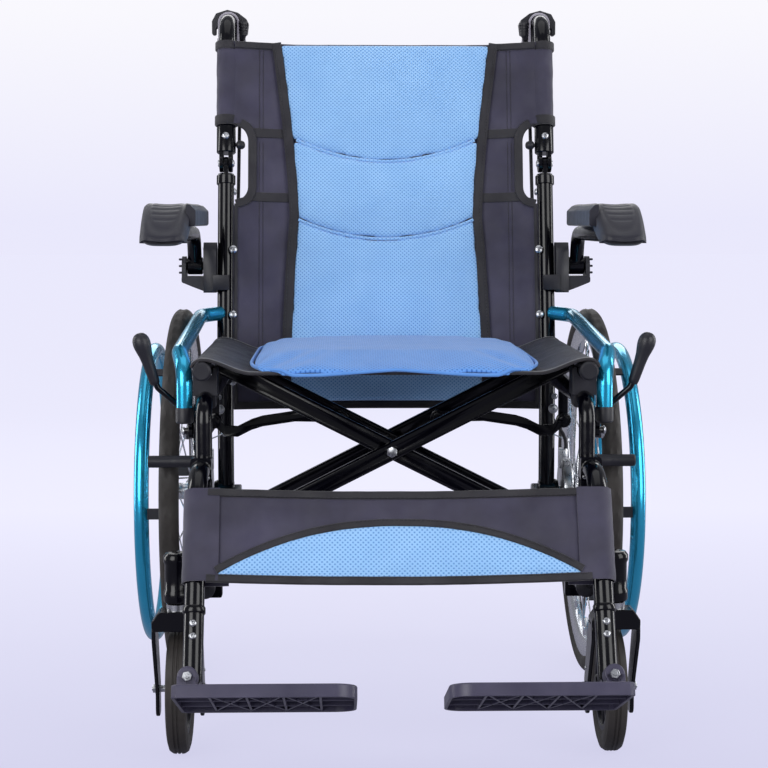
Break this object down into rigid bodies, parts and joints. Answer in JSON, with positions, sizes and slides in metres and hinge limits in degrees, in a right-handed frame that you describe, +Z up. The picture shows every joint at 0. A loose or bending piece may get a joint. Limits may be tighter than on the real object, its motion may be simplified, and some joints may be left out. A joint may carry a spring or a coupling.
{
  "type": "manual wheelchair",
  "caption": "Folding self-propelled wheelchair with cross-braced tube frame, spoked rear wheels with push rims, front casters, flip-up footplates and sling seat and back.",
  "frame": {"origin": "on the ground under the middle of the chair's bounding box", "axes": "+Z up, the chair faces -Y, +X across the chair to the viewer's right as seen from in front"},
  "size_m": [0.6474, 0.9254, 0.9125],
  "materials": {
    "frame_gloss": "gloss black paint",
    "plastic_black": "satin moulded plastic",
    "pad_soft": "matt, fine leather grain",
    "anodised_blue": "bright metallic blue anodised",
    "alloy_silver": "polished",
    "zinc_steel": "zinc plated",
    "tyre_rubber": "matt with moulded tread",
    "nylon_charcoal": "woven nylon",
    "mesh_blue": "spacer mesh",
    "plastic_red": "satin"
  },
  "bodies": {
    "cross_a": {"cross_bar_a": "frame_gloss", "right_seat_rail": "frame_gloss", "centre_bolt": "zinc_steel"},
    "cross_b": {"cross_bar_b": "frame_gloss", "left_seat_rail": "frame_gloss"},
    "seat": {"seat_sling": "nylon_charcoal", "seat_cushion": "mesh_blue"},
    "left_frame": {"left_side_frame": "frame_gloss", "left_hanger": "frame_gloss", "left_side_guard": "anodised_blue", "left_arm_bracket": "plastic_black", "left_brake_base": "frame_gloss", "left_axle": "zinc_steel", "left_hub_brake": "zinc_steel", "left_brake_cable": "plastic_black", "calf_strap": "nylon_charcoal", "back_lower": "mesh_blue"},
    "left_back": {"left_back_cane": "frame_gloss", "left_grip": "plastic_black", "back_upper": "mesh_blue"},
    "left_wheel": {"left_tyre": "tyre_rubber", "left_rim": "alloy_silver", "left_hub_spokes": "alloy_silver", "left_handrim": "anodised_blue"},
    "left_arm": {"left_arm_tube": "frame_gloss", "left_arm_pad": "pad_soft"},
    "left_park_lever": {"left_brake_lever": "plastic_black"},
    "left_shoe": {"left_brake_shoe": "frame_gloss"},
    "left_link": {"left_fold_link": "frame_gloss"},
    "left_foot": {"left_footplate": "plastic_black"},
    "left_caster": {"left_caster_fork": "frame_gloss"},
    "left_caster_wheel": {"left_caster_wheel": "tyre_rubber"},
    "left_hand_lever": {"left_hand_lever": "plastic_black"},
    "left_catch": {"left_brake_catch": "plastic_red"},
    "left_knob": {"left_release_knob": "plastic_black"},
    "right_frame": {"right_side_frame": "frame_gloss", "right_hanger": "frame_gloss", "right_side_guard": "anodised_blue", "right_arm_bracket": "plastic_black", "right_brake_base": "frame_gloss", "right_axle": "zinc_steel", "right_hub_brake": "zinc_steel", "right_brake_cable": "plastic_black"},
    "right_back": {"right_back_cane": "frame_gloss", "right_grip": "plastic_black"},
    "right_wheel": {"right_tyre": "tyre_rubber", "right_rim": "alloy_silver", "right_hub_spokes": "alloy_silver", "right_handrim": "anodised_blue"},
    "right_arm": {"right_arm_tube": "frame_gloss", "right_arm_pad": "pad_soft"},
    "right_park_lever": {"right_brake_lever": "plastic_black"},
    "right_shoe": {"right_brake_shoe": "frame_gloss"},
    "right_link": {"right_fold_link": "frame_gloss"},
    "right_foot": {"right_footplate": "plastic_black"},
    "right_caster": {"right_caster_fork": "frame_gloss"},
    "right_caster_wheel": {"right_caster_wheel": "tyre_rubber"},
    "right_hand_lever": {"right_hand_lever": "plastic_black"},
    "right_catch": {"right_brake_catch": "plastic_red"},
    "right_knob": {"right_release_knob": "plastic_black"}
  },
  "joints": [
    {"name": "fold", "type": "hinge", "parent": "left_frame", "child": "cross_a", "pos_m": [-0.208, 0.03266, 0.229], "axis": [0, -1, 0], "range_deg": [0, 45], "deforming": ["seat_sling", "seat_cushion", "calf_strap", "back_lower", "back_upper"]},
    {"name": "fold_scissor", "type": "hinge", "parent": "cross_a", "child": "cross_b", "pos_m": [0, 0.03266, 0.33397], "axis": [0, -1, 0], "range_deg": [-90, 0]},
    {"name": "fold_right_side", "type": "hinge", "parent": "cross_b", "child": "right_frame", "pos_m": [0.208, 0.03266, 0.229], "axis": [0, -1, 0], "range_deg": [0, 45]},
    {"name": "seat_level", "type": "hinge", "parent": "cross_a", "child": "seat", "pos_m": [0, 0.03266, 0.33397], "axis": [0, -1, 0], "range_deg": [-45, 0]},
    {"name": "left_link_swing", "type": "hinge", "parent": "left_frame", "child": "left_link", "pos_m": [-0.226, 0.07666, 0.36], "axis": [0, -1, 0], "range_deg": [0, 64.31]},
    {"name": "left_footplate_flip", "type": "hinge", "parent": "left_frame", "child": "left_foot", "pos_m": [-0.225, -0.36234, 0.131], "axis": [0, -0.9304, 0.3665], "range_deg": [0, 90]},
    {"name": "left_wheel_spin", "type": "hinge", "parent": "left_frame", "child": "left_wheel", "pos_m": [-0.277, 0.21266, 0.24863], "axis": [1, 0, 0], "continuous": true},
    {"name": "left_caster_swivel", "type": "hinge", "parent": "left_frame", "child": "left_caster", "pos_m": [-0.251, -0.21234, 0.18], "axis": [0, 0, 1], "continuous": true},
    {"name": "left_caster_spin", "type": "hinge", "parent": "left_caster", "child": "left_caster_wheel", "pos_m": [-0.251, -0.17734, 0.07408], "axis": [1, 0, 0], "continuous": true},
    {"name": "left_armrest_flip", "type": "hinge", "parent": "left_frame", "child": "left_arm", "pos_m": [-0.262, 0.23866, 0.556], "axis": [-1, 0, 0], "range_deg": [0, 90]},
    {"name": "left_back_fold", "type": "hinge", "parent": "left_frame", "child": "left_back", "pos_m": [-0.22, 0.26713, 0.69627], "axis": [-1, 0, 0], "range_deg": [0, 90], "deforming": ["left_brake_cable"]},
    {"name": "left_parking_lever", "type": "hinge", "parent": "left_frame", "child": "left_park_lever", "pos_m": [-0.239, -0.13934, 0.372], "axis": [-1, 0, 0], "range_deg": [0, 50]},
    {"name": "left_shoe_swing", "type": "hinge", "parent": "left_frame", "child": "left_shoe", "pos_m": [-0.239, -0.06734, 0.388], "axis": [1, 0, 0], "range_deg": [0, 17]},
    {"name": "left_hand_brake", "type": "hinge", "parent": "left_back", "child": "left_hand_lever", "pos_m": [-0.2305, 0.36266, 0.87], "axis": [1, 0, 0], "range_deg": [0, 12], "stiffness_Nm_per_rad": 0.4, "springref_deg": -17.19},
    {"name": "left_brake_catch_flip", "type": "hinge", "parent": "left_hand_lever", "child": "left_catch", "pos_m": [-0.231, 0.35116, 0.86], "axis": [1, 0, 0], "range_deg": [-15, 15]},
    {"name": "left_back_release", "type": "slide", "parent": "left_back", "child": "left_knob", "axis": [1, 0, 0], "range_m": [0, 0.005], "stiffness_N_per_m": 200, "springref_m": -0.002},
    {"name": "right_link_swing", "type": "hinge", "parent": "right_frame", "child": "right_link", "pos_m": [0.226, 0.07666, 0.36], "axis": [0, 1, 0], "range_deg": [0, 64.31]},
    {"name": "right_footplate_flip", "type": "hinge", "parent": "right_frame", "child": "right_foot", "pos_m": [0.225, -0.36234, 0.131], "axis": [0, 0.9304, -0.3665], "range_deg": [0, 90]},
    {"name": "right_wheel_spin", "type": "hinge", "parent": "right_frame", "child": "right_wheel", "pos_m": [0.277, 0.21266, 0.24863], "axis": [1, 0, 0], "continuous": true},
    {"name": "right_caster_swivel", "type": "hinge", "parent": "right_frame", "child": "right_caster", "pos_m": [0.251, -0.21234, 0.18], "axis": [0, 0, 1], "continuous": true},
    {"name": "right_caster_spin", "type": "hinge", "parent": "right_caster", "child": "right_caster_wheel", "pos_m": [0.251, -0.17734, 0.07408], "axis": [1, 0, 0], "continuous": true},
    {"name": "right_armrest_flip", "type": "hinge", "parent": "right_frame", "child": "right_arm", "pos_m": [0.262, 0.23866, 0.556], "axis": [-1, 0, 0], "range_deg": [0, 90]},
    {"name": "right_back_fold", "type": "hinge", "parent": "right_frame", "child": "right_back", "pos_m": [0.22, 0.26713, 0.69627], "axis": [-1, 0, 0], "range_deg": [0, 90], "deforming": ["right_brake_cable"]},
    {"name": "right_parking_lever", "type": "hinge", "parent": "right_frame", "child": "right_park_lever", "pos_m": [0.239, -0.13934, 0.372], "axis": [-1, 0, 0], "range_deg": [0, 50]},
    {"name": "right_shoe_swing", "type": "hinge", "parent": "right_frame", "child": "right_shoe", "pos_m": [0.239, -0.06734, 0.388], "axis": [1, 0, 0], "range_deg": [0, 17]},
    {"name": "right_hand_brake", "type": "hinge", "parent": "right_back", "child": "right_hand_lever", "pos_m": [0.2305, 0.36266, 0.87], "axis": [1, 0, 0], "range_deg": [0, 12], "stiffness_Nm_per_rad": 0.4, "springref_deg": -17.19},
    {"name": "right_brake_catch_flip", "type": "hinge", "parent": "right_hand_lever", "child": "right_catch", "pos_m": [0.231, 0.35116, 0.86], "axis": [1, 0, 0], "range_deg": [-15, 15]},
    {"name": "right_back_release", "type": "slide", "parent": "right_back", "child": "right_knob", "axis": [-1, 0, 0], "range_m": [0, 0.005], "stiffness_N_per_m": 200, "springref_m": -0.002}
  ],
  "couplings": [
    {"joint": "fold_scissor", "follows": "fold", "ratio": -2},
    {"joint": "fold_right_side", "follows": "fold", "ratio": 1},
    {"joint": "seat_level", "follows": "fold", "ratio": -1},
    {"joint": "left_link_swing", "follows": "fold", "ratio": 1.429},
    {"joint": "left_footplate_flip", "follows": "fold", "ratio": 2},
    {"joint": "left_shoe_swing", "follows": "left_parking_lever", "ratio": 0.34},
    {"joint": "right_link_swing", "follows": "fold", "ratio": 1.429},
    {"joint": "right_footplate_flip", "follows": "fold", "ratio": 2},
    {"joint": "right_shoe_swing", "follows": "right_parking_lever", "ratio": 0.34},
    {"joint": "right_back_fold", "follows": "left_back_fold", "ratio": 1}
  ]
}
